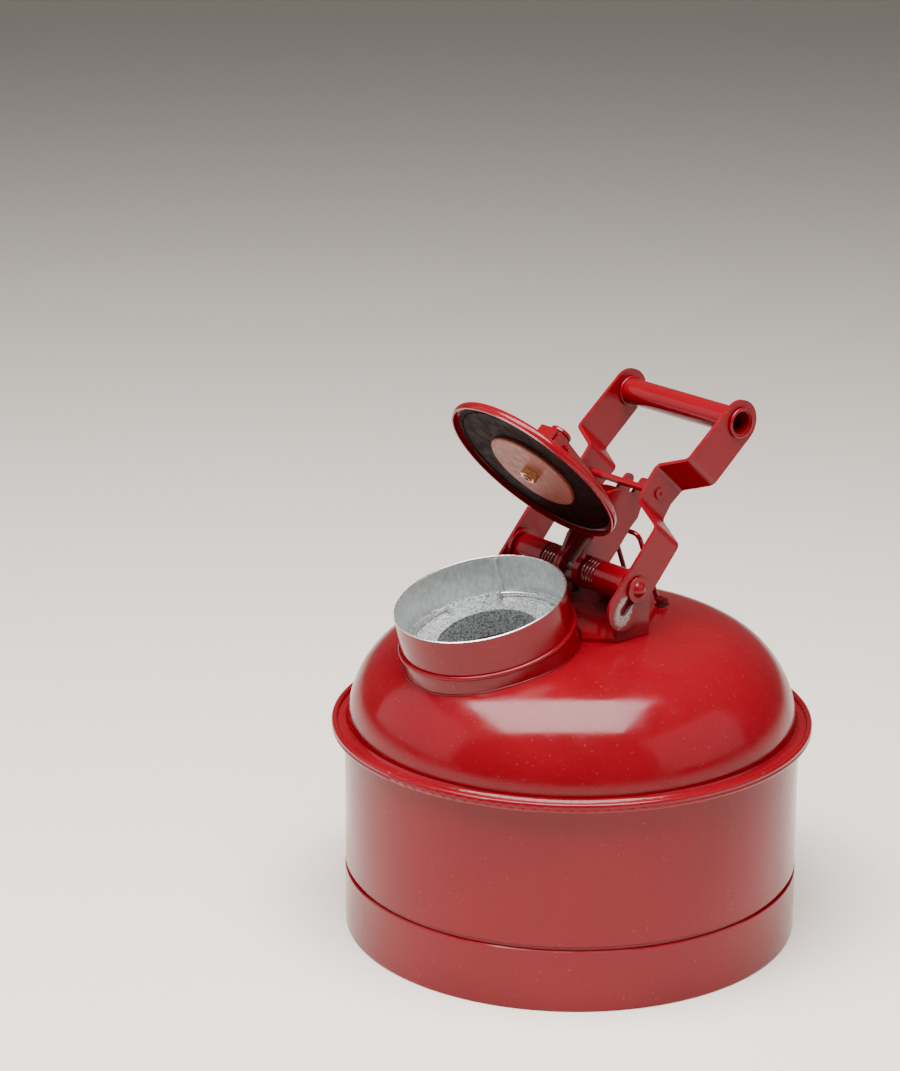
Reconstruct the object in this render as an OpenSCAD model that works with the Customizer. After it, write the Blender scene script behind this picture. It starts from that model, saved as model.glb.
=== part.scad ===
// Short wide-mouth safety can, 2.5 gallon size, with a self-closing lid and a tilting, lifting handle.
// Millimetres. Origin: bottom centre of the can. +Z up, the neck is on the -Y side, hinge pin along X.
// The rest position is lid open.

/* [Can body] */
// Outside radius of the body shell
body_r = 143; // [120:0.5:180]
// Sheet thickness of the body, dome and pan
sheet = 1.0; // [0.6:0.1:2]
// Height of the rolled seam between body and dome
seam_z = 134; // [110:0.5:260]
// Height of the skirt band's top edge
skirt_z = 39.8; // [20:0.2:60]
// Outside radius of the skirt band
skirt_r = 143.4; // [120:0.1:182]
// Height of the bottom pan's flat
pan_z = 34; // [10:0.5:38]

/* [Dome] */
// Height of the dome's crown
apex_z = 203.5; // [180:0.5:330]
// Crown radius
crown_r = 491; // [300:1:900]
// Shoulder radius
shoulder_r = 61; // [30:1:80]
// Radius of the circle the shoulder's centre runs on
shoulder_c = 80; // [60:1:110]
// Height of the shoulder's centre, which is also the height of the dome's foot
foot_z = 135; // [110:1:260]

/* [Neck] */
// Outside radius of the neck tube
neck_r = 53.5; // [40:0.5:70]
// Wall of the neck tube
neck_t = 1.3; // [0.8:0.1:2]
// Rim centre, Y
neck_y = -75.8; // [-100:0.1:-40]
// Rim centre, Z
neck_z = 230.65; // [200:0.05:360]
// Forward tilt of the neck, degrees
neck_tilt = 14.4; // [0:0.1:30]
// Depth of the collar's top edge below the rim
collar_s = 25.5; // [15:0.5:40]

/* [Flame arrester] */
// Depth of the arrester's seat below the rim
seat_s = 28; // [15:0.5:45]
// Radius of the arrester's basket
basket_r = 33; // [20:0.5:45]
// Depth of the basket's floor below the rim
basket_s = 46; // [30:0.5:70]
// Pitch of the perforations
perf_pitch = 5; // [4:0.1:8]
// Radius of one perforation
perf_r = 1.6; // [1:0.1:2.4]

/* [Hinge] */
// Pin axis, Y
pin_y = 3.5; // [-20:0.1:30]
// Pin axis, Z
pin_z = 233; // [210:0.1:360]
// Pin radius
pin_r = 3.15; // [2.5:0.05:5]
// Outside face of the bracket's ears
ear_x = 52; // [40:0.5:70]
// Plate thickness of the bracket
plate = 2.5; // [1.5:0.1:4]
// Radius of the ears' round tops
ear_r = 13; // [9:0.5:18]
// Outside radius of the spacers and coils
spacer_r = 10; // [6:0.5:14]
// Wire diameter of the closing springs
spring_w = 2.7; // [1.5:0.1:4]
// Turns in each spring
spring_turns = 4; // [2:1:8]

/* [Lid] */
// Open angle of the lid plane from level, degrees
lid_lean = 49.7; // [30:0.1:80]
// Centre of the lid's lip plane when open, Y
lid_y = -35.2; // [-80:0.1:20]
// Centre of the lid's lip plane when open, Z
lid_z = 301.7; // [260:0.1:420]
// Outside radius of the lid
lid_r = 60.5; // [50:0.5:80]
// Height of the lid's top above its lip
lid_h = 6.2; // [5:0.1:14]
// Radius of the gasket's retainer
retainer_r = 30.65; // [15:0.05:50]
// Depth of the gasket's face inside the lip
gasket_o = 2.6; // [1:0.1:5]

/* [Lid arm] */
// Outside half width of the arm's channel
arm_x = 8.4; // [6:0.1:20]
// Sheet thickness of the arm
arm_t = 2.7; // [1.5:0.1:4]
// Height of the channel's web above the lip plane
arm_top = 28.4; // [15:0.1:40]
// Radius of the arm's round lower end
arm_end_r = 10.6; // [8:0.1:16]
// Length of the web from the stud's axis to the horns' shoulder
web_a = 52.4; // [40:0.1:70]
// Reach of the arm's back edge from the stud's axis
arm_back = 85.4; // [75:0.1:100]
// Radius of the shoulder that sweeps up from the web to the horns
shoulder = 34; // [30:0.5:60]
// Distance of the horns from the stud's axis
horn_a = 73; // [60:0.5:84]
// Width of a horn
horn_w = 7.2; // [4:0.1:14]
// Height of the horns' tips above the lip plane
horn_top = 56.2; // [40:0.1:70]

/* [Handle] */
// Lean of the handle's lower legs above level, degrees
handle_lean = 47.8; // [20:0.1:100]
// Strip thickness
strip = 2.5; // [1.5:0.1:4]
// Inside face of the lower legs
leg_x = 52.4; // [45:0.1:75]
// Inside face of the waist
waist_x = 29.5; // [15:0.1:50]
// Inside face of the upper legs
upper_x = 48.9; // [35:0.1:75]
// Distance from pin to grip along the leg
grip_s = 124.8; // [90:0.1:180]
// Offset of the grip square to the leg
grip_n = -5.1; // [-20:0.1:20]
// Distance from pin to cross rod along the leg
rod_s = 61.6; // [40:0.1:90]
// Offset of the cross rod square to the leg
rod_n = 3.9; // [-10:0.1:15]
// Radius of the cross rod
rod_r = 2.4; // [1.5:0.1:4]
// Outside radius of the grip tube
grip_r = 8.5; // [6:0.1:14]
// Length the handle can lift on its slots
lift = 16; // [8:0.5:25]

/* [Hidden] */
$fn = 96;
red = [0.66, 0.09, 0.11];
zinc = [0.62, 0.64, 0.64];
steel = [0.75, 0.75, 0.76];
copper = [0.55, 0.24, 0.16];
brass = [0.80, 0.62, 0.30];
rubber = [0.13, 0.05, 0.05];
run = 0.08;             // running clearance on the pin
gap = 0.1;              // clearance between sheets of one body
pin_a = (pin_y - lid_y) * cos(lid_lean) - (pin_z - lid_z) * sin(lid_lean);   // pin in the lid's plane
pin_o = (pin_y - lid_y) * sin(lid_lean) + (pin_z - lid_z) * cos(lid_lean);   // pin square to the lid
// centre of the shoulder's arc
horn_c = [arm_back - 4, arm_top - sqrt(pow(shoulder, 2) - pow(arm_back - 4 - web_a, 2))];
function shoulder_at(a) = 180 - acos((horn_c[0] - a) / shoulder);   // angle on the shoulder at distance a
tilt_c = atan2(shoulder_c, foot_z - (apex_z - crown_r));

// ---------- frames ----------
module at_neck() { translate([0, neck_y, neck_z]) rotate([neck_tilt, 0, 0]) children(); }
module at_lid() { translate([0, lid_y, lid_z]) rotate([-lid_lean, 0, 0]) children(); }
module at_pin() { translate([0, pin_y, pin_z]) children(); }
module at_handle() { translate([0, pin_y, pin_z]) rotate([handle_lean, 0, 0]) children(); }
// a profile drawn in (y, z), given width along x
module plate_x(x0, t) { translate([x0, 0, 0]) rotate([90, 0, 90]) linear_extrude(t) children(); }
module along_x(x0, len, r) { translate([x0, 0, 0]) rotate([0, 90, 0]) cylinder(h = len, r = r); }
module ring(r0, r1, z0, z1) { translate([0, 0, z0]) difference() { cylinder(h = z1 - z0, r = r1);
    translate([0, 0, -1]) cylinder(h = z1 - z0 + 2, r = r0); } }

// ---------- dome ----------
module dome_profile(off, low) {
    xt = shoulder_c + (shoulder_r - off) * sin(tilt_c);
    intersection() {
        translate([0, apex_z - crown_r]) circle(r = crown_r - off, $fn = 720);
        translate([0, low]) square([xt, apex_z - low + 5]);
    }
    intersection() {
        translate([shoulder_c, foot_z]) circle(r = shoulder_r - off, $fn = 180);
        translate([xt, low]) square([shoulder_r, apex_z - low + 5]);
    }
}
module dome_solid() { rotate_extrude($fn = 128) dome_profile(0, foot_z - 35); }

module body_shell() {
    color(red) difference() {
        rotate_extrude($fn = 128) {
            polygon([[body_r - sheet, 42.6], [body_r, 42.6], [body_r, seam_z - 3.4], [body_r + 1, seam_z - 2.2],
                [body_r + 4.5, seam_z - 1.6], [body_r + 4.5, seam_z - 0.6], [body_r + 0.4, seam_z - 1.1],
                [body_r - sheet, seam_z - 3.1]]);
            polygon([[body_r - 2.2, 26], [body_r - 1.2, 26], [body_r - 1.2, 41.6], [body_r, 42.61],
                [body_r - sheet, 42.61], [body_r - 2.2, 41.9]]);
        }
    }
}

// a band with a hemmed foot; the hem is pressed flat underneath, where the can stands
module base_skirt() {
    hem = 1.6;
    color(red) rotate_extrude($fn = 128) {
        polygon([[skirt_r - 1.4, 1.2], [skirt_r, 1.2], [skirt_r, skirt_z - 0.7],
            [skirt_r - 0.6, skirt_z], [skirt_r - 1.4, skirt_z]]);
        intersection() { translate([skirt_r - hem, 1.4]) circle(r = hem, $fn = 48);
            translate([skirt_r - 2 * hem - 1, 0]) square([2 * hem + 2, 4]); }
    }
}

module bottom_pan() {
    color(red) rotate_extrude($fn = 128) {
        translate([0, pan_z]) square([body_r - 2.4, sheet]);
        translate([body_r - 3.4, pan_z - 7]) square([sheet, 7.5]);
    }
}

module top_dome() {
    color(red) difference() {
        rotate_extrude($fn = 128) {
            difference() { dome_profile(0, seam_z); dome_profile(sheet, seam_z - 4); }
            translate([140.5, seam_z]) square([6.7, sheet]);
            difference() { translate([140.5, seam_z + 0.5]) square([4, 4.5]);
                translate([144.8, seam_z + 5.15]) circle(r = 4.2, $fn = 64); }
        }
        at_neck() translate([0, 0, -90]) cylinder(h = 120, r = neck_r + 0.06);
    }
}

module seam_ring() {
    color(red) rotate_extrude($fn = 128) difference() {
        union() { translate([149.2, seam_z - 0.9]) circle(r = 1.9, $fn = 48);
            translate([149.2, seam_z + 1.6]) circle(r = 1.9, $fn = 48);
            translate([147.3, seam_z - 0.9]) square([3.5, 2.5]); }
        translate([140, seam_z - 1.7]) square([7.5 + 0.1, 2.8]);
    }
}

// ---------- neck ----------
module neck_tube() {
    color(zinc) at_neck() rotate_extrude($fn = 128) {
        translate([neck_r - neck_t, -52]) square([neck_t, 51.4]);
        translate([neck_r - neck_t / 2, -0.65]) circle(r = neck_t / 2, $fn = 24);
    }
}

module neck_collar() {
    color(red) difference() {
        at_neck() {
            ring(neck_r + 0.06, neck_r + 1.3, -70, -collar_s);
            rotate_extrude($fn = 128) difference() {
                translate([neck_r + 0.6, -collar_s + 0.6]) circle(r = 1.5, $fn = 32);
                translate([neck_r - 3, -collar_s - 4]) square([3.06, 9]);
            }
        }
        dome_solid();
    }
}

module arrester_cup() {
    inner = neck_r - neck_t - gap;
    color(zinc) at_neck() {
        ring(basket_r - sheet, inner - 0.01, -seat_s, -seat_s + sheet);
        ring(inner - sheet, inner, -seat_s, -seat_s + 3.2);
        ring(basket_r - sheet, basket_r, -basket_s, -seat_s + 0.5);
        ring(basket_r - 4.5, basket_r - 0.5, -basket_s, -basket_s + sheet);
    }
}

module arrester_screen() {
    r = basket_r - sheet - 0.3;
    color(zinc) at_neck() translate([0, 0, -basket_s + sheet + 0.1]) linear_extrude(0.8) difference() {
        circle(r = r);
        for (i = [-6:6], j = [-7:7]) {
            px = (i + (abs(j) % 2) / 2) * perf_pitch;
            py = j * perf_pitch * 0.866;
            if (norm([px, py]) < r - 5.2) translate([px, py]) circle(r = perf_r, $fn = 6);
        }
    }
}

module retaining_wire() {
    wr = 49.3;
    color(steel) at_neck() translate([0, 0, -seat_s + sheet + 1.55]) {
        rotate([0, 0, 171]) rotate_extrude(angle = 318) translate([wr, 0]) circle(r = 1.5, $fn = 24);
        for (a = [171, 129]) rotate([0, 0, a])
            translate([wr - 9, 0, 0]) rotate([0, 90, 0]) cylinder(h = 10.1, r = 1.42, $fn = 24);
    }
}

// ---------- hinge ----------
// the crown's sphere, grown by off, as a section
module crown_section(off) { intersection() { translate([0, apex_z - crown_r]) circle(r = crown_r + off, $fn = 720);
    translate([0, foot_z]) square([75, apex_z]); } }
module hinge_bracket() {
    color(red) difference() {
        union() {
            for (m = [0, 1]) mirror([m, 0, 0])
                translate([0, pin_y, pin_z]) plate_x(ear_x - plate, plate) union() {
                    circle(r = ear_r);
                    polygon([[-ear_r + 0.3, 0], [ear_r - 0.3, 0], [ear_r, -8], [ear_r, -40], [-14, -40], [-14, -10]]);
                }
            translate([-ear_x, pin_y + ear_r - plate, 195]) cube([2 * ear_x, plate, 23.6]);
            intersection() {
                translate([0, 0, 190]) linear_extrude(30) polygon([[-ear_x, pin_y + ear_r], [ear_x, pin_y + ear_r],
                    [ear_x, -10.5], [34, -31], [-34, -31], [-ear_x, -10.5]]);
                rotate_extrude($fn = 128) crown_section(2.6);
            }
        }
        rotate_extrude($fn = 128) crown_section(0.3);
        at_pin() along_x(-70, 140, pin_r + 0.05);
        at_neck() translate([0, 0, -80]) cylinder(h = 120, r = neck_r + 2.5);
    }
}

module hinge_pin() {
    color(steel) at_pin() rotate([0, 90, 0]) rotate_extrude() {
        translate([0, -57]) square([pin_r, 114]);
        for (m = [0, 1]) mirror([0, m]) intersection() {
            translate([0, 53.5]) circle(r = 6);
            translate([0, 56.8]) square([8, 8]);
        }
    }
}

module pin_washers() {
    color(red) at_pin() for (m = [0, 1]) mirror([m, 0, 0]) rotate([0, 90, 0])
        ring(pin_r + 0.05, 8.4, 55.2, 56.75);
}

module spacer() { at_pin() rotate([0, 90, 0]) ring(pin_r + 0.05, spacer_r, 24.9, ear_x - plate - gap); }
module spacer_right() { color(red) spacer(); }
module spacer_left() { color(red) mirror([1, 0, 0]) spacer(); }

// one closing spring: a straight leg, the turns and a short second leg, swept as one wire
function spring_rings(r, pitch, a0, a1, l0, l1, x0) = concat(
    [[[x0, r * cos(a0) + l0 * sin(a0), r * sin(a0) - l0 * cos(a0)], a0]],
    [for (i = [0:54]) let (a = a0 + (a1 - a0) * i / 54)
        [[x0 + pitch * (a - a0) / 360, r * cos(a), r * sin(a)], a]],
    [[[x0 + pitch * (a1 - a0) / 360, r * cos(a1) - l1 * sin(a1), r * sin(a1) + l1 * cos(a1)], a1]]);
module spring() {
    n = 12;
    r = spacer_r - spring_w / 2;
    rings = spring_rings(r, spring_w + 0.06, 0, 360 * spring_turns - 130, 21, 9, 11.9 + spring_w / 2);
    pts = [for (q = rings) for (k = [0:n - 1]) q[0] + spring_w / 2 * (cos(360 * k / n) * [0, cos(q[1]), sin(q[1])]
        - sin(360 * k / n) * [1, 0, 0])];
    m = len(rings);
    at_pin() polyhedron(points = pts, convexity = 10, faces = concat([[for (k = [n - 1:-1:0]) k]],
        [[for (k = [0:n - 1]) (m - 1) * n + k]],
        [for (i = [0:m - 2]) for (k = [0:n - 1]) [i * n + k, i * n + (k + 1) % n, (i + 1) * n + (k + 1) % n]],
        [for (i = [0:m - 2]) for (k = [0:n - 1]) [i * n + k, (i + 1) * n + (k + 1) % n, (i + 1) * n + k]]));
}
module spring_right() { color(red) spring(); }
module spring_left() { color(red) mirror([1, 0, 0]) spring(); }

// ---------- hold-open wire ----------
wire_foot = [60.5, 203.4];       // axis of its feet, y and z
wire_top = [43.6, 249.6];        // axis of its cross bar, y and z
module hold_open_wire() {
    l = norm(wire_top - wire_foot);
    a = atan2(wire_foot[0] - wire_top[0], wire_top[1] - wire_foot[1]);
    c = 5;
    color(red) translate([0, wire_foot[0], wire_foot[1]]) rotate([a, 0, 0]) {
        for (m = [0, 1]) mirror([m, 0, 0]) {
            translate([12.5, 0, 0]) cylinder(h = l - c, r = 1.6, $fn = 32);
            translate([12.5, 0, 0]) sphere(r = 1.6, $fn = 32);
            along_x(12.5, 7.5, 1.6);
            translate([12.5 - c, 0, l - c]) rotate([90, 0, 0]) rotate_extrude(angle = 90)
                translate([c, 0]) circle(r = 1.6, $fn = 32);
            translate([-0.1, 0, l]) rotate([0, 90, 0]) cylinder(h = 12.6 - c, r = 1.6, $fn = 32);
        }
    }
}
module wire_clips() {
    color(red) translate([0, wire_foot[0], wire_foot[1]]) for (m = [0, 1]) mirror([m, 0, 0]) {
        difference() {
            union() { along_x(14.9, 4.2, 3.1); translate([14.9, -4.2, -3.4]) cube([4.2, 8.4, 1.8]); }
            along_x(14, 6, 1.66);
            translate([14, -8, -7]) cube([6, 16, 3.9]);
        }
    }
}

// ---------- lid arm, drawn in the open lid's plane: y along the lid to the hinge, z away from it ----------
module arm_hole() { translate([pin_a, pin_o]) circle(r = pin_r + run); }
// where a plate's straight edges run into its round end
boss_edges = [[pin_a + arm_end_r - 0.9, pin_o + 2], [pin_a - arm_end_r + 0.9, pin_o + 2]];
// a bar over the lid, a shoulder, a round-tipped horn, the back edge, the pin's end, a filleted underside
module cheek_shape() {
    fillet = 4;
    difference() {
        union() {
            polygon(concat([[-8, lid_h + 0.6], [-8, arm_top]],
                arc(horn_c, shoulder, shoulder_at(web_a), shoulder_at(horn_a - horn_w / 2), 14),
                arc([horn_a, horn_top - horn_w / 2], horn_w / 2, 180, 0, 16),
                [[arm_back, 34.6], [arm_back, 8]], boss_edges,
                [[65.8, 2]], arc([59.6, 8.6], fillet, 0, 80, 8), [[30, 17]]));
            translate([pin_a, pin_o]) circle(r = arm_end_r - 0.3);
        }
        arm_hole();
    }
}
module lid_arm() {
    in = arm_x - arm_t;
    color(red) at_lid() difference() {
        union() {
            for (m = [0, 1]) mirror([m, 0, 0]) plate_x(in, arm_t) cheek_shape();
            translate([-arm_x + 0.6, -8.8, arm_top - arm_t]) cube([2 * arm_x - 1.2, 60.8, arm_t]);
            translate([-arm_x + 1.5, -11.3, lid_h + 1]) cube([2 * arm_x - 3, 2.5, arm_top - lid_h - 1]);
            translate([-in - 1, 80.4, 9]) cube([2 * in + 2, 2.6, 13]);
        }
        cylinder(h = 60, r = 3.25);
    }
}

// the hinge side's cheek plates, one on each side of the channel
module doubler_shape() {
    nose = 1.5;
    fillet = 4;
    difference() {
        union() {
            polygon(concat(arc([3, 26.2 - nose], nose, 270, 90, 10), [[51, 26.2], [83.1, 23.4]],
                [[arm_back, 8]], boss_edges, [[62.9, -1]], arc([58.2, 7.6], fillet, 0, 80, 8), [[43, 13]]));
            translate([pin_a, pin_o]) circle(r = arm_end_r);
        }
        arm_hole();
    }
}
module arm_doublers() {
    color(red) at_lid() for (m = [0, 1]) mirror([m, 0, 0]) plate_x(arm_x + 0.05, 2.9) doubler_shape();
}

module lid_stud() {
    color(red) at_lid() difference() {
        rotate_extrude() {
            translate([0, -4.8]) square([3, arm_top + 7.5]);
            intersection() { translate([0, arm_top - 12.2]) circle(r = 17.4);
                translate([0, arm_top + 2.2]) square([7.2, 8]); }
            translate([7.2 - 1.2, arm_top + 2.15 + 1.15]) circle(r = 1.2, $fn = 32);
        }
        translate([0, 0, -6]) cylinder(h = 4.5, r = 1.6);
    }
}
module stud_washer() { color(red) at_lid() ring(3.1, 6.2, arm_top + 0.05, arm_top + 2.05); }
module stud_sleeve() { color(zinc) at_lid() ring(3.1, 5.4, lid_h + 0.1, arm_top - arm_t - 0.1); }

module lid_disc() {
    c = 3.4;
    color(red) at_lid() rotate_extrude($fn = 128) difference() {
        union() { translate([3.1, 2.6]) square([lid_r - c - 3.1, lid_h - 2.6]);
            intersection() { translate([lid_r - c, lid_h - c]) circle(r = c, $fn = 96);
                translate([lid_r - c - 0.01, 0]) square([10, 20]); }
            translate([lid_r - c, 0]) square([c - 0.65, 2.2]); }
        translate([3, -1]) square([lid_r - c - 3, lid_h - 0.1]);
        intersection() { translate([lid_r - c, lid_h - c]) circle(r = c - 1.1, $fn = 96);
            translate([lid_r - c - 0.01, -2]) square([10, 20]); }
        translate([lid_r - c - 0.01, -1]) square([c - 1.75, 3.6]);
    }
}
module lid_gasket() { color(rubber) at_lid() rotate_extrude($fn = 128) difference() {
    translate([3.2, gasket_o]) square([lid_r - 4.6 - 3.2, lid_h - 1.2 - gasket_o]);
    translate([neck_r - neck_t / 2, gasket_o - 0.05]) circle(r = 0.65, $fn = 24);
} }
module gasket_retainer() {
    color(copper) at_lid() rotate_extrude($fn = 128) {
        top = gasket_o - 0.05;
        polygon([[3.1, 0.3], [retainer_r - 0.8, 0.3], [retainer_r, 1.0], [retainer_r, top], [3.1, top]]);
    }
}
module stud_nut() {
    color(brass) at_lid() difference() { translate([0, 0, -4.1]) cylinder(h = 4.35, r = 5.6, $fn = 6);
        translate([0, 0, -5]) cylinder(h = 6, r = 3.05); }
}

// ---------- handle, drawn in its leg frame: y along the leg from the pin, z square to it ----------
function unit(v) = v / norm(v);
function turn(v, a) = [v[0] * cos(a) - v[1] * sin(a), v[0] * sin(a) + v[1] * cos(a)];
function left(v) = [-v[1], v[0]];
// bend arc at b, as points with their normals
function bend(a, b, c, r) = let (d = unit(b - a), e = unit(c - b), phi = atan2(d[0] * e[1] - d[1] * e[0], d * e),
    s = sign(phi), mid = b - d * r * tan(abs(phi) / 2) + r * s * left(d))
    [for (t = [0:6]) let (n = turn(left(d), phi * t / 6)) [mid - s * r * n, n]];
xm = strip / 2;
strip_path = [[leg_x + xm, -40], [leg_x + xm, 38.2], [waist_x + xm, 49.8], [waist_x + xm, 74.2],
    [upper_x + xm, 84.2], [upper_x + xm, 150]];
strip_pts = concat([[strip_path[0], [-1, 0]]], [for (i = [1:4]) each bend(strip_path[i - 1], strip_path[i],
    strip_path[i + 1], 4.5)], [[strip_path[5], [-1, 0]]]);
module strip_section() {
    n = len(strip_pts);
    polygon(concat([for (q = strip_pts) q[0] + xm * q[1]],
        [for (i = [n - 1:-1:0]) strip_pts[i][0] - xm * strip_pts[i][1]]));
}
function arc(c, r, a0, a1, n) = [for (t = [0:n]) let (a = a0 + (a1 - a0) * t / n) c + r * [cos(a), sin(a)]];
module arm_outline() {
    polygon(concat(arc([-lift, 0], 12.4, 90, 270, 30),
        [[46, -11.6], [rod_s, -9.6], [78, -12.9]],
        arc([grip_s, grip_n], 14.2, -98, 82, 32),
        [[76, 16.9], [rod_s, 16.8], [50, 15], [40, 12.8]]));
}
module handle_arm() {
    at_handle() difference() {
        intersection() {
            translate([0, 0, -32]) linear_extrude(64) strip_section();
            plate_x(20, 60) arm_outline();
        }
        plate_x(20, 60) { circle(r = pin_r + 0.15); translate([-lift, 0]) circle(r = pin_r + 0.15);
            translate([-lift, -pin_r - 0.15]) square([lift, 2 * pin_r + 0.3]); }
        plate_x(20, 60) { translate([rod_s, rod_n]) circle(r = rod_r + 0.05);
            translate([grip_s, grip_n]) circle(r = grip_r + 0.05); }
    }
}
module handle_arm_right() { color(red) handle_arm(); }
module handle_arm_left() { color(red) mirror([1, 0, 0]) handle_arm(); }

module grip_tube() {
    out = upper_x + strip;
    color(red) at_handle() translate([0, grip_s, grip_n]) rotate([0, 90, 0]) {
        ring(grip_r - 1.3, grip_r, -out - 1, out + 1);
        for (m = [0, 1]) mirror([0, 0, m]) {
            rotate_extrude() difference() {
                union() { translate([grip_r + 0.4, out + 1.05]) circle(r = 1, $fn = 24);
                    translate([grip_r + 0.4, upper_x - 1.05]) circle(r = 1, $fn = 24); }
                square([grip_r - 0.2, out + 4]);
            }
        }
    }
}

module cross_rod() {
    color(red) at_handle() translate([0, rod_s, rod_n]) {
        along_x(-waist_x - strip - 0.5, 2 * (waist_x + strip + 0.5), rod_r);
        for (m = [0, 1]) mirror([m, 0, 0]) translate([waist_x + strip + 0.03, 0, 0]) rotate([0, 90, 0])
            difference() { cylinder(h = 1.1, r = 3.6); translate([0, 0, 0.5]) cylinder(h = 2, r = 1.3); }
    }
}

body_shell();
base_skirt();
bottom_pan();
top_dome();
seam_ring();
neck_tube();
neck_collar();
arrester_cup();
arrester_screen();
retaining_wire();
hinge_bracket();
hinge_pin();
pin_washers();
spacer_left();
spacer_right();
spring_left();
spring_right();
wire_clips();
hold_open_wire();
lid_arm();
arm_doublers();
lid_stud();
stud_washer();
stud_sleeve();
lid_disc();
lid_gasket();
gasket_retainer();
stud_nut();
handle_arm_left();
handle_arm_right();
grip_tube();
cross_rod();
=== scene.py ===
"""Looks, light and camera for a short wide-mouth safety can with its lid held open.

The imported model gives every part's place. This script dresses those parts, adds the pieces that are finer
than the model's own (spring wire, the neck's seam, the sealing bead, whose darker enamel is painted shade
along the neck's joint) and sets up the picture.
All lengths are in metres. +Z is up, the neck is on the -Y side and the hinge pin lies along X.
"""

import logging  # noqa: E402
import math  # noqa: E402
from dataclasses import dataclass, field  # noqa: E402
from enum import Enum  # noqa: E402
from typing import Callable  # noqa: E402

import bpy  # noqa: E402
from mathutils import Matrix, Vector  # noqa: E402


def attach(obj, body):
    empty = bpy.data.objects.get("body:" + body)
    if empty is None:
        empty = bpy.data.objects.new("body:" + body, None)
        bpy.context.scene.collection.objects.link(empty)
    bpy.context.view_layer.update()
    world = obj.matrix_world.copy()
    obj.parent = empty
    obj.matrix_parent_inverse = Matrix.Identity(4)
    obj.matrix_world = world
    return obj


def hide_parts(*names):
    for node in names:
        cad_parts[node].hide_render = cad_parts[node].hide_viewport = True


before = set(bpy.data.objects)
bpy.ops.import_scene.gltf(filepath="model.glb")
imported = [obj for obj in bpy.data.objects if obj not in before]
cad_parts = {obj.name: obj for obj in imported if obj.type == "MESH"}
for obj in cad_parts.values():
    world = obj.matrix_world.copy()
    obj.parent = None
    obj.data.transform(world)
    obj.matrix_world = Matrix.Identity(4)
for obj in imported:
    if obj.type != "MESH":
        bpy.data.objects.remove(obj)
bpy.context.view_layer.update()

log = logging.getLogger("safety_can")
Colour = tuple[float, float, float]


class Body(str, Enum):
    """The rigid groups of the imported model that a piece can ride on."""

    CAN = "can"
    ARM = "arm"
    LID = "lid"
    HANDLE = "handle"
    KEEPER = "keeper"


class Side(Enum):
    """The two mirrored halves of the hinge."""

    LEFT = -1
    RIGHT = 1


# ---------------------------------------------------------------- node graphs


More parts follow.
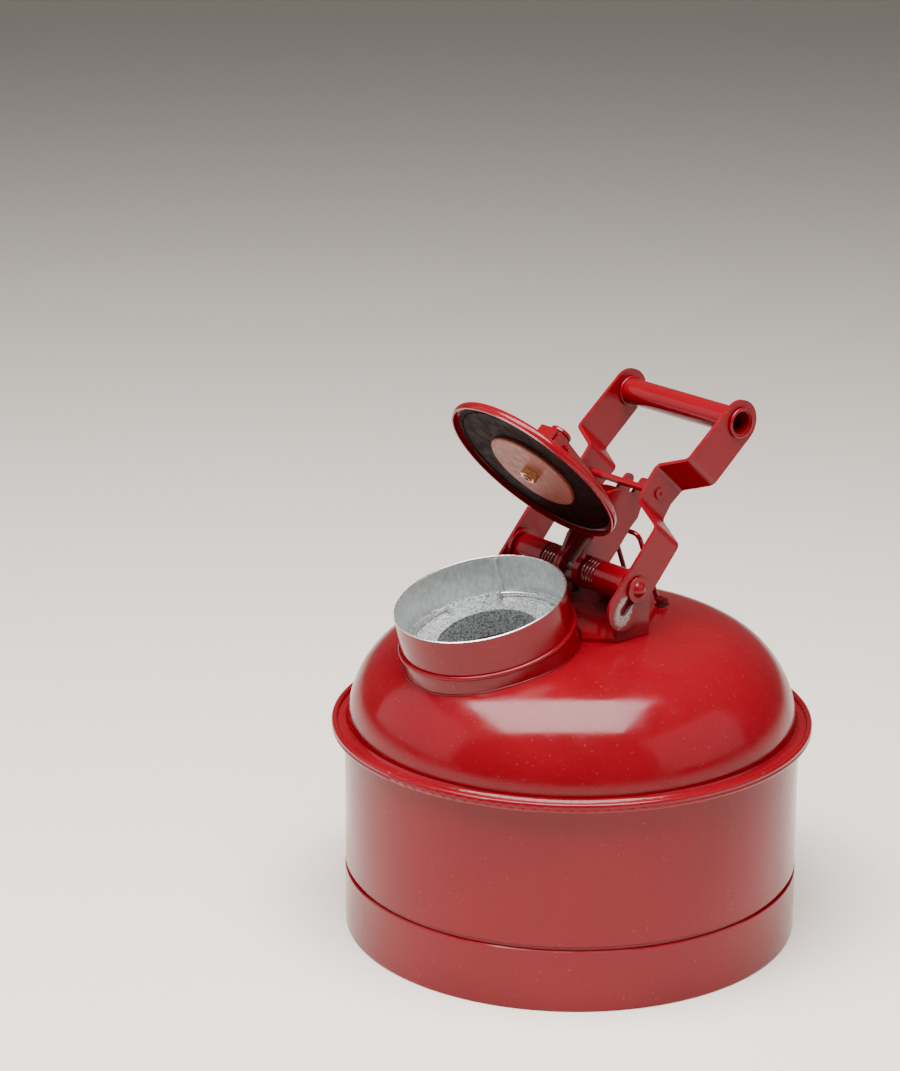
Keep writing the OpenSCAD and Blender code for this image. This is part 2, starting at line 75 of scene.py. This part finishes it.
class Graph:
    """A material's node tree, with short calls for adding and joining nodes."""

    def __init__(self, name: str) -> None:
        """Makes an empty material that holds one principled shader.

        Args:
            name: The material's name.
        """
        self.material = bpy.data.materials.new(name)
        self.material.use_nodes = True
        tree = self.material.node_tree
        self.nodes, self.links = tree.nodes, tree.links
        self.shader = self.nodes["Principled BSDF"]
        self.place = self.add("ShaderNodeTexCoord").outputs["Object"]

    def add(self, kind: str, **settings: object) -> bpy.types.Node:
        """Adds a node and sets its properties.

        Args:
            kind: Blender's name for the node type.
            **settings: Property names and their values.

        Returns:
            The new node.
        """
        made = self.nodes.new(kind)
        for key, value in settings.items():
            setattr(made, key, value)
        return made

    def feed(self, source: object, target: bpy.types.NodeSocket) -> None:
        """Joins a socket to an input, or sets the input if source is a plain value."""
        if isinstance(source, bpy.types.NodeSocket):
            self.links.new(source, target)
        elif isinstance(source, tuple) and len(source) == 3 and target.type == "RGBA":
            target.default_value = (*source, 1.0)
        else:
            target.default_value = source

    def noise(self, scale: float, detail: float = 2.0, rough: float = 0.5,
              stretch: Colour = (1, 1, 1)) -> object:
        """Gives grey noise in the model's own metres.

        Args:
            scale: Grains per metre.
            detail: Octaves.
            rough: Strength of the finer octaves.
            stretch: Scale along each axis.

        Returns:
            The noise's value socket.
        """
        mapping = self.add("ShaderNodeMapping")
        mapping.inputs["Scale"].default_value = stretch
        self.feed(self.place, mapping.inputs["Vector"])
        node = self.add("ShaderNodeTexNoise")
        node.inputs["Scale"].default_value = scale
        node.inputs["Detail"].default_value = detail
        node.inputs["Roughness"].default_value = rough
        self.feed(mapping.outputs["Vector"], node.inputs["Vector"])
        return node.outputs["Fac"]

    def band(self, value: object, low: float, high: float, out_low: float = 0.0,
             out_high: float = 1.0) -> object:
        """Maps a value from one range to another, held at the ends, with a smooth slope."""
        node = self.add("ShaderNodeMapRange", interpolation_type="SMOOTHSTEP")
        ends = {"From Min": low, "From Max": high, "To Min": out_low, "To Max": out_high}
        for name, number in ends.items():
            node.inputs[name].default_value = number
        self.feed(value, node.inputs["Value"])
        return node.outputs["Result"]

    def maths(self, kind: str, a: object, b: object = 0.0) -> object:
        """One arithmetic step on two numbers."""
        node = self.add("ShaderNodeMath", operation=kind)
        self.feed(a, node.inputs[0])
        self.feed(b, node.inputs[1])
        return node.outputs[0]

    def blend(self, share: object, a: object, b: object) -> object:
        """Mixes two colours by a share from 0 to 1."""
        node = self.add("ShaderNodeMix", data_type="RGBA")
        self.feed(share, node.inputs[0])
        self.feed(a, node.inputs[6])
        self.feed(b, node.inputs[7])
        return node.outputs[2]

    def bump(self, height: object, strength: float, distance: float, under: object = None) -> object:
        """Turns a height into a surface normal.

        Args:
            height: The height socket.
            strength: From 0 to 1.
            distance: Height of a full step, in metres.
            under: A normal that this one is laid over.

        Returns:
            The normal socket.
        """
        node = self.add("ShaderNodeBump")
        node.inputs["Strength"].default_value = strength
        node.inputs["Distance"].default_value = distance
        self.feed(height, node.inputs["Height"])
        if under is not None:
            self.feed(under, node.inputs["Normal"])
        return node.outputs["Normal"]

    def oval(self, centre: Colour, lean: float, half_long: float, half_wide: float) -> object:
        """Gives distance from an oval's centre in the YZ plane, where 1 is the oval's edge."""
        node = self.add("ShaderNodeMapping", vector_type="TEXTURE")
        node.inputs["Location"].default_value = centre
        node.inputs["Rotation"].default_value = (lean, 0.0, 0.0)
        node.inputs["Scale"].default_value = (1000.0, half_long, half_wide)
        self.feed(self.place, node.inputs["Vector"])
        length = self.add("ShaderNodeVectorMath", operation="LENGTH")
        self.feed(node.outputs["Vector"], length.inputs[0])
        return length.outputs["Value"]

    def set(self, **values: object) -> None:
        """Sets or joins the shader's inputs; underscores in a name stand for spaces."""
        for key, value in values.items():
            self.feed(value, self.shader.inputs[key.replace("_", " ")])


# ---------------------------------------------------------------- finishes


@dataclass(frozen=True)
class WornSpot:
    """An oval where a sliding part has rubbed the enamel down to bare metal."""

    centre: Colour
    lean: float
    half_long: float
    half_wide: float


@dataclass(frozen=True)
class Enamel:
    """Baked gloss enamel on steel, with orange peel, settled dust and an optional worn spot."""

    name: str
    colour: Colour = (0.172, 0.0012, 0.0060)
    shade: Colour = (0.154, 0.0010, 0.0052)
    dust: Colour = (0.34, 0.06, 0.06)
    bare: Colour = (0.42, 0.38, 0.36)
    roughness: float = 0.17
    coat: float = 0.04
    dust_share: float = 0.5
    peel: float = 0.10
    worn: WornSpot | None = None

    def make(self) -> bpy.types.Material:
        """Builds the material."""
        g = Graph(self.name)
        cloud = g.band(g.noise(14.0, 3.0), 0.35, 0.65)
        tone = g.blend(cloud, self.shade, self.colour)
        grains = g.maths("MULTIPLY", g.band(g.noise(520.0, 1.0), 0.715, 0.75), self.dust_share)
        tone = g.blend(g.maths("MULTIPLY", grains, 0.6), tone, self.dust)
        smear = g.band(g.noise(45.0, 4.0, 0.6), 0.3, 0.75, self.roughness - 0.05, self.roughness + 0.07)
        peel = g.bump(g.noise(230.0, 2.0), self.peel, 0.00035)
        normal = g.bump(grains, 0.25, 0.00012, peel)
        metal: object = 0.0
        if self.worn is not None:
            spot = self.worn
            edge = g.maths("ADD", g.oval(spot.centre, spot.lean, spot.half_long, spot.half_wide),
                           g.maths("MULTIPLY", g.noise(700.0, 3.0, 0.7), 0.9))
            rubbed = g.band(edge, 1.62, 1.25)
            speckle = g.band(g.noise(1500.0, 3.0, 0.8), 0.42, 0.60)
            metal_tone = g.blend(speckle, (0.16, 0.13, 0.12), self.bare)
            tone = g.blend(rubbed, tone, metal_tone)
            metal = g.maths("MULTIPLY", rubbed, 0.75)
            smear = g.maths("ADD", smear, g.maths("MULTIPLY", rubbed, 0.15))
            normal = g.bump(speckle, 0.3, 0.0001, normal)
            g.set(Metallic=metal)
        g.set(Base_Color=tone, Roughness=smear, Normal=normal, Coat_Weight=self.coat, Coat_Roughness=0.08,
              Specular_IOR_Level=0.27)
        return g.material


@dataclass(frozen=True)
class Metal:
    """Bare or plated metal with a grain, and spangle or tarnish where it has them."""

    name: str
    light: Colour
    dark: Colour
    roughness: float
    grain: float = 600.0
    grain_low: float = 0.35
    grain_high: float = 0.65
    stretch: Colour = (1.0, 1.0, 1.0)
    stain: Colour | None = None
    stain_share: float = 0.4
    metallic: float = 0.9
    relief: float = 0.15

    def make(self) -> bpy.types.Material:
        """Builds the material."""
        g = Graph(self.name)
        grain = g.band(g.noise(self.grain, 3.0, 0.6, self.stretch), self.grain_low, self.grain_high)
        tone = g.blend(grain, self.dark, self.light)
        if self.stain is not None:
            patch = g.band(g.noise(60.0, 5.0, 0.7), 0.48, 0.72)
            tone = g.blend(g.maths("MULTIPLY", patch, self.stain_share), tone, self.stain)
        rough = g.band(g.noise(self.grain * 0.4, 3.0), 0.3, 0.7, self.roughness - 0.06, self.roughness + 0.08)
        g.set(Base_Color=tone, Roughness=rough, Metallic=self.metallic,
              Normal=g.bump(grain, self.relief, 0.00015))
        return g.material


@dataclass(frozen=True)
class Rubber:
    """Dark, dull gasket rubber with a reddish cast."""

    name: str
    colour: Colour = (0.006, 0.0012, 0.0012)
    worn: Colour = (0.018, 0.0030, 0.0030)
    roughness: float = 0.46

    def make(self) -> bpy.types.Material:
        """Builds the material."""
        g = Graph(self.name)
        tone = g.blend(g.band(g.noise(90.0, 5.0, 0.7), 0.45, 0.75), self.colour, self.worn)
        rough = g.band(g.noise(160.0, 3.0), 0.3, 0.7, self.roughness - 0.06, self.roughness + 0.12)
        g.set(Base_Color=tone, Roughness=rough, Specular_IOR_Level=0.14, IOR=1.15,
              Normal=g.bump(g.noise(260.0, 4.0, 0.6), 0.35, 0.0004))
        return g.material


@dataclass(frozen=True)
class FloorPaper:
    """Pale seamless paper with a faint speckle."""

    name: str = "pale_paper"
    colour: Colour = (0.84, 0.76, 0.68)
    fleck: Colour = (0.76, 0.68, 0.60)

    def make(self) -> bpy.types.Material:
        """Builds the material."""
        g = Graph(self.name)
        g.set(Base_Color=g.blend(g.band(g.noise(160.0, 4.0, 0.7), 0.56, 0.72), self.colour, self.fleck),
              Roughness=0.75)
        return g.material


RED = Enamel("red_enamel")
ARM_RED = Enamel("arm_enamel", dust_share=0.2, roughness=0.16)
SHADED_RED = Enamel("shaded_enamel", colour=(0.12, 0.0015, 0.004), shade=(0.08, 0.001, 0.003),
                    dust_share=0.2)
SPRING_RED = Enamel("spring_enamel", colour=(0.13, 0.002, 0.005), shade=(0.09, 0.0015, 0.004), roughness=0.2,
                    dust_share=0.3, coat=0.6)
ZINC = Metal("galvanised_neck", (0.56, 0.58, 0.56), (0.44, 0.46, 0.45), 0.42, 420.0, stretch=(1, 1, 0.5),
             stain=(0.32, 0.31, 0.28), stain_share=0.3, metallic=0.75, relief=0.08)
SPANGLE = Metal("spangled_zinc", (0.94, 0.96, 0.96), (0.24, 0.25, 0.25), 0.32, 760.0, 0.36, 0.56,
                stain=(0.30, 0.32, 0.34), stain_share=0.35, metallic=0.8, relief=0.35)
MESH = Metal("dark_mesh", (0.045, 0.045, 0.043), (0.014, 0.014, 0.014), 0.5, 900.0, metallic=0.6)
BARE = Metal("bare_steel", (0.90, 0.89, 0.86), (0.66, 0.65, 0.62), 0.24, 900.0, relief=0.1,
             stain=(0.35, 0.24, 0.18), stain_share=0.2)
WIRE = Metal("zinc_wire", (0.66, 0.67, 0.66), (0.36, 0.37, 0.36), 0.33, 900.0)
COPPER = Metal("retainer_plate", (0.22, 0.040, 0.022), (0.15, 0.024, 0.014), 0.45, 500.0, metallic=0.25,
               stain=(0.10, 0.018, 0.014), stain_share=0.55, relief=0.1)
BRASS = Metal("worn_brass", (0.78, 0.52, 0.20), (0.46, 0.27, 0.09), 0.30, 900.0, stain=(0.16, 0.09, 0.05),
              stain_share=0.5)
GASKET = Rubber("gasket_rubber")


class Paints:
    """Makes each finish's material once and hands it out again."""

    def __init__(self) -> None:
        """Starts with nothing made."""
        self._made: dict[str, bpy.types.Material] = {}

    def of(self, finish: Enamel | Metal | Rubber | FloorPaper) -> bpy.types.Material:
        """Returns the finish's material, made at its first use."""
        if finish.name not in self._made:
            self._made[finish.name] = finish.make()
        return self._made[finish.name]


PAINTS = Paints()


# ---------------------------------------------------------------- meshes


def coat_node(name: str, finish: Enamel | Metal | Rubber) -> bpy.types.Object:
    """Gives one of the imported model's parts its finish.

    Args:
        name: The part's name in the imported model.
        finish: What it is covered with.

    Returns:
        The part's object.
    """
    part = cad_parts[name]
    part.data.materials.clear()
    part.data.materials.append(PAINTS.of(finish))
    log.info("dressed %s", name)
    return part


def coat_faces(name: str, finish: Enamel | Metal, test: Callable[[Vector, Vector], bool]) -> None:
    """Adds a second finish on the faces of a part that pass a test of their centre and normal."""
    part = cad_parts[name]
    part.data.materials.append(PAINTS.of(finish))
    index = len(part.data.materials) - 1
    for face in part.data.polygons:
        if test(face.center, face.normal):
            face.material_index = index


def soften(name: str, width: float = 0.0003) -> None:
    """Rounds a pressed part's sharp edges a little, so that they catch the light."""
    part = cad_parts[name]
    weld = part.modifiers.new("join", "WELD")
    weld.merge_threshold = 0.00001
    bevel = part.modifiers.new("edge", "BEVEL")
    bevel.width, bevel.segments, bevel.limit_method = width, 2, "ANGLE"
    bevel.angle_limit = math.radians(40)
    shade = part.modifiers.new("shade", "WEIGHTED_NORMAL")
    shade.keep_sharp = False


def add_mesh(name: str, points: list[Vector], faces: list[tuple[int, ...]], body: Body,
             finish: Enamel | Metal | Rubber) -> bpy.types.Object:
    """Makes a smooth-shaded mesh that rides on a body.

    Args:
        name: The new piece's name.
        points: Its points, in the row frame.
        faces: Its faces, as point numbers.
        body: What it moves with.
        finish: What it is covered with.

    Returns:
        The new object.
    """
    data = bpy.data.meshes.new(name)
    data.from_pydata([tuple(p) for p in points], [], faces)
    data.validate()
    data.shade_smooth()
    data.materials.append(PAINTS.of(finish))
    piece = bpy.data.objects.new(name, data)
    bpy.context.scene.collection.objects.link(piece)
    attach(piece, body.value)
    log.info("made %s", name)
    return piece


def sweep(path: list[Vector], radii: list[float], sides: int,
          closed: bool) -> tuple[list[Vector], list[tuple[int, ...]]]:
    """Carries a round section along a path without twisting it.

    Args:
        path: Centre points.
        radii: The section's radius at each point.
        sides: Points round the section.
        closed: True if the path's end joins its start.

    Returns:
        The points and faces.
    """
    count = len(path)
    points: list[Vector] = []
    first = (path[1] - path[0]).normalized()
    axes = [Vector(axis) for axis in ((1.0, 0.0, 0.0), (0.0, 1.0, 0.0), (0.0, 0.0, 1.0))]
    normal = min(axes, key=lambda axis: abs(axis.dot(first)))
    for i, centre in enumerate(path):
        before = path[i - 1] if (i or closed) else centre
        after = path[(i + 1) % count] if (i < count - 1 or closed) else centre
        along = (after - before).normalized()
        normal = (normal - along * normal.dot(along)).normalized()
        across = along.cross(normal)
        for k in range(sides):
            turn = math.tau * k / sides
            points.append(centre + (normal * math.cos(turn) + across * math.sin(turn)) * radii[i])
    faces: list[tuple[int, ...]] = []
    for i in range(count if closed else count - 1):
        j = (i + 1) % count
        for k in range(sides):
            m = (k + 1) % sides
            faces.append((i * sides + k, i * sides + m, j * sides + m, j * sides + k))
    if not closed:
        faces.append(tuple(reversed(range(sides))))
        faces.append(tuple(range((count - 1) * sides, count * sides)))
    return points, faces


# ---------------------------------------------------------------- sub-assemblies


@dataclass
class Can:
    """The body, skirt, bottom, dome and rolled seam."""

    painted: list[str] = field(default_factory=lambda: ["body_shell", "base_skirt", "bottom_pan", "top_dome",
                                                       "seam_ring"])

    def build(self) -> None:
        """Dresses the sheet-metal shell."""
        for name in self.painted:
            coat_node(name, RED)


@dataclass
class Neck:
    """The tilted neck: painted outside, zinc inside, bare at the rim."""

    rim: Vector = field(default_factory=lambda: Vector((0.0, -0.0758, 0.23065)))
    tilt: float = math.radians(14.4)
    radius: float = 0.0535
    wall: float = 0.0013
    dome_top: float = 0.2035
    crown: float = 0.491
    shoulder: float = 0.061
    shoulder_ring: float = 0.080
    shoulder_height: float = 0.135

    def frame(self) -> Matrix:
        """The neck's own axes: the origin at the rim's centre, Z out along the neck."""
        return Matrix.Translation(self.rim) @ Matrix.Rotation(self.tilt, 4, "X")

    def local(self, point: Vector) -> Vector:
        """A point in the neck's own axes."""
        return self.frame().inverted() @ point

    def is_outside(self, centre: Vector, normal: Vector) -> bool:
        """True on the tube's outer wall."""
        here = self.local(centre)
        return Vector((here.x, here.y)).length > self.radius - 0.0002 and here.z < -0.0016

    def is_rim(self, centre: Vector, normal: Vector) -> bool:
        """True on the rounded rim, where the enamel has worn off."""
        return self.local(centre).z > -0.0016

    def build(self) -> None:
        """Dresses the neck, its collar and the arrester, and adds the seam and the sealing bead, which
        carries painted shade.
        """
        coat_node("neck_tube", ZINC)
        coat_faces("neck_tube", RED, self.is_outside)
        coat_faces("neck_tube", BARE, self.is_rim)
        coat_node("neck_collar", RED)
        coat_node("arrester_cup", SPANGLE)
        coat_node("arrester_screen", MESH)
        coat_node("retaining_wire", WIRE)
        self.add_seam(math.radians(129.0))
        self.add_bead()

    def add_seam(self, around: float) -> None:
        """Adds the raised lap where the neck's sheet is joined.

        Args:
            around: Its place round the neck, from +X.
        """
        reach = self.radius - self.wall
        profile = ((-0.0022, 0.0), (-0.0016, 0.00028), (0.0010, 0.00034), (0.0014, 0.0))
        steps = 24
        points: list[Vector] = []
        for i in range(steps + 1):
            depth = -0.0016 - 0.0245 * i / steps
            for slide, rise in profile:
                turn = around + slide / reach
                flat = Vector((math.cos(turn), math.sin(turn), 0.0)) * (reach + 0.00005 - rise)
                points.append(self.frame() @ Vector((flat.x, flat.y, depth)))
        width = len(profile)
        faces = [(i * width + k, i * width + k + 1, (i + 1) * width + k + 1, (i + 1) * width + k)
                 for i in range(steps) for k in range(width - 1)]
        faces += [(i * width + width - 1, i * width, (i + 1) * width, (i + 1) * width + width - 1)
                  for i in range(steps)]
        faces += [(3, 2, 1, 0), tuple(steps * width + k for k in range(4))]
        add_mesh("neck_lap_seam", points, faces, Body.CAN, ZINC)

    def dome_gap(self, point: Vector) -> float:
        """Distance of a point outside the dome's surface; below zero is inside."""
        reach = math.hypot(point.x, point.y)
        tangent = self.shoulder_ring * self.crown / (self.crown - self.shoulder)
        if reach < tangent:
            return math.hypot(reach, point.z - self.dome_top + self.crown) - self.crown
        return math.hypot(reach - self.shoulder_ring, point.z - self.shoulder_height) - self.shoulder

    def add_bead(self) -> None:
        """Adds the thin sealing bead where the collar meets the dome, in the darker shaded enamel: painted
        shade for the dark line along the joint.
        """
        path: list[Vector] = []
        radii: list[float] = []
        steps = 180
        for i in range(steps):
            turn = math.tau * i / steps
            low, high = -0.075, -0.005
            for _ in range(40):
                middle = (low + high) / 2
                spot = self.frame() @ Vector(((self.radius + 0.0013) * math.cos(turn),
                                              (self.radius + 0.0013) * math.sin(turn), middle))
                low, high = (middle, high) if self.dome_gap(spot) < 0 else (low, middle)
            path.append(spot)
            radii.append(0.00075 + 0.00012 * math.sin(9 * turn) + 0.00008 * math.sin(23 * turn + 1.0))
        points, faces = sweep(path, radii, 10, True)
        # The bead's darker enamel is painted shade: it stands for the shadow in the joint between collar and
        # dome.
        add_mesh("neck_bead_painted_shade", points, faces, Body.CAN, SHADED_RED)


@dataclass
class Spring:
    """One closing spring, wound from round wire round the hinge pin."""

    side: Side
    pin: Vector = field(default_factory=lambda: Vector((0.0, 0.0035, 0.2330)))
    start: float = 0.01325
    coil: float = 0.00865
    wire: float = 0.00132
    pitch: float = 0.00276
    turns: float = 1310.0 / 360.0
    first_leg: float = 0.021
    last_leg: float = 0.009

    def at(self, turn: float) -> Vector:
        """A point of the coil's centre line, turn in radians from the +Y side."""
        return Vector((self.start + self.pitch * turn / math.tau, self.coil * math.cos(turn),
                       self.coil * math.sin(turn)))

    def build(self) -> None:
        """Makes the wire and lets it stand for the model's own coarser one."""
        end = self.turns * math.tau
        steps = int(48 * self.turns)
        path = [self.at(0.0) + Vector((0.0, 0.0, -self.first_leg * (1 - i / 8))) for i in range(8)]
        path += [self.at(end * i / steps) for i in range(steps + 1)]
        away = Vector((0.0, -math.sin(end), math.cos(end)))
        path += [self.at(end) + away * (self.last_leg * i / 5) for i in range(1, 6)]
        places = [self.pin + Vector((p.x * self.side.value, p.y, p.z)) for p in path]
        points, faces = sweep(places, [self.wire] * len(places), 16, False)
        if self.side is Side.LEFT:
            faces = [tuple(reversed(f)) for f in faces]
        word = self.side.name.lower()
        piece = add_mesh(f"spring_wire_{word}", points, faces, Body.CAN, SPRING_RED)
        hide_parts(f"spring_{word}")


@dataclass
class Hinge:
    """The bracket, pin, washers, spacers and springs."""

    plates: list[str] = field(default_factory=lambda: ["hinge_bracket", "pin_washers"])

    def build(self) -> None:
        """Dresses the hinge and winds its springs."""
        for name in self.plates:
            coat_node(name, ARM_RED)
            soften(name, 0.00035)
        for name in ("spacer_left", "spacer_right"):
            coat_node(name, ARM_RED)
        coat_node("hinge_pin", BARE)
        coat_faces("hinge_pin", ARM_RED, lambda centre, normal: abs(centre.x) > 0.0550)
        coat_node("wire_clips", SHADED_RED)
        for side in Side:
            Spring(side).build()


@dataclass
class Lid:
    """The lid with its gasket, retainer and stud, and the arm that carries it."""

    arm: list[str] = field(default_factory=lambda: ["lid_arm", "arm_doublers", "stud_washer"])

    def build(self) -> None:
        """Dresses the lid and its arm."""
        for name in self.arm:
            coat_node(name, ARM_RED)
            soften(name, 0.00035)
        coat_node("lid_stud", ARM_RED)
        coat_node("stud_sleeve", SHADED_RED)
        coat_node("lid_disc", RED)
        coat_node("lid_gasket", GASKET)
        coat_node("gasket_retainer", COPPER)
        coat_node("stud_nut", BRASS)


@dataclass
class Handle:
    """The two slotted arms, the grip and the cross rod."""

    pin: Vector = field(default_factory=lambda: Vector((0.0, 0.0035, 0.2330)))
    lean: float = math.radians(47.8)
    slot_end: float = 0.0165

    def build(self) -> None:
        """Dresses the handle, with the enamel worn round the slots' lower ends."""
        low = self.pin - Vector((0.0, math.cos(self.lean), math.sin(self.lean))) * self.slot_end
        spot = WornSpot(tuple(low), self.lean + math.radians(20.0), 0.0098, 0.0066)
        worn = Enamel("handle_enamel", dust_share=0.2, roughness=0.16, worn=spot)
        for name in ("handle_arm_left", "handle_arm_right"):
            coat_node(name, worn)
            soften(name, 0.0005)
        coat_node("grip_tube", ARM_RED)
        coat_node("cross_rod", ARM_RED)


@dataclass
class Keeper:
    """The wire loop behind the hinge that holds the lid open."""

    def build(self) -> None:
        """Dresses the loop."""
        coat_node("hold_open_wire", ARM_RED)


# ---------------------------------------------------------------- picture


@dataclass
class Studio:
    """The floor, the lights and the camera."""

    camera_place: Vector = field(default_factory=lambda: Vector((1.3636, -1.2250, 0.8375)))
    azimuth: float = math.radians(50.455)
    pitch: float = math.radians(17.652)
    lens: float = 104.35

    def light(self, name: str, place: Vector, aim: Vector, size: tuple[float, float], power: float,
              colour: Colour = (1.0, 1.0, 1.0), roll: float | None = None) -> None:
        """Adds a soft rectangular light.

        Args:
            name: The light's name.
            place: Its centre.
            aim: The point it faces.
            size: Its width and height.
            power: In watts.
            colour: Its tint.
            roll: For a light that faces straight down, its turn about Z.
        """
        data = bpy.data.lights.new(name, "AREA")
        data.shape, (data.size, data.size_y) = "RECTANGLE", size
        data.energy, data.color = power, colour
        lamp = bpy.data.objects.new(name, data)
        bpy.context.scene.collection.objects.link(lamp)
        lamp.location = place
        lamp.visible_camera = False
        lamp.rotation_euler = (aim - place).to_track_quat("-Z", "Y").to_euler()
        if roll is not None:
            lamp.rotation_euler = (0.0, 0.0, roll)

    def floor(self) -> None:
        """Adds the pale floor, which sweeps up far behind."""
        reach, steps, sweep_radius = 16.0, 16, 2.5
        flat_end, wall_top = 4.0, 9.0
        rows = [(-reach, 0.0), (flat_end, 0.0)]
        for i in range(1, steps + 1):
            turn = math.pi / 2 * i / steps
            rows.append((flat_end + sweep_radius * math.sin(turn), sweep_radius * (1 - math.cos(turn))))
        rows.append((flat_end + sweep_radius, wall_top))
        points = [(side * reach, along, up) for along, up in rows for side in (-1, 1)]
        faces = [(2 * i, 2 * i + 1, 2 * i + 3, 2 * i + 2) for i in range(len(rows) - 1)]
        data = bpy.data.meshes.new("floor")
        data.from_pydata(points, [], faces)
        data.shade_smooth()
        data.materials.append(PAINTS.of(FloorPaper()))
        sheet = bpy.data.objects.new("floor", data)
        sheet.rotation_euler = (0.0, 0.0, self.azimuth)
        bpy.context.scene.collection.objects.link(sheet)

    def build(self) -> None:
        """Sets up the floor, lights, surroundings and camera."""
        self.floor()
        centre = Vector((0.0, 0.0, 0.18))
        self.light("overhead_box", Vector((0.26, -0.48, 1.72)), centre, (1.80, 1.22), 124.0,
                   roll=self.azimuth)
        self.light("left_panel", Vector((-1.29, -1.53, 0.95)), centre, (2.3, 1.5), 11.0)
        self.light("right_panel", Vector((1.77, 0.94, 0.95)), centre, (2.0, 1.5), 8.0)
        world = bpy.data.worlds.new("studio")
        world.use_nodes = True
        world.node_tree.nodes["Background"].inputs["Color"].default_value = (0.85, 0.88, 0.92, 1.0)
        world.node_tree.nodes["Background"].inputs["Strength"].default_value = 0.16
        bpy.context.scene.world = world
        data = bpy.data.cameras.new("camera")
        data.lens, data.sensor_width, data.sensor_fit = self.lens, 36.0, "AUTO"
        data.clip_start, data.clip_end = 0.05, 60.0
        eye = bpy.data.objects.new("camera", data)
        eye.location = self.camera_place
        eye.rotation_euler = (math.pi / 2 - self.pitch, 0.0, self.azimuth)
        bpy.context.scene.collection.objects.link(eye)
        bpy.context.scene.camera = eye


def main() -> None:
    """Builds the can from the floor up, then the picture."""
    logging.basicConfig(level=logging.INFO, format="%(message)s")
    for assembly in (Can(), Neck(), Hinge(), Lid(), Handle(), Keeper()):
        assembly.build()
        log.info("finished %s", type(assembly).__name__)
    Studio().build()


if __name__ == "__main__":
    main()
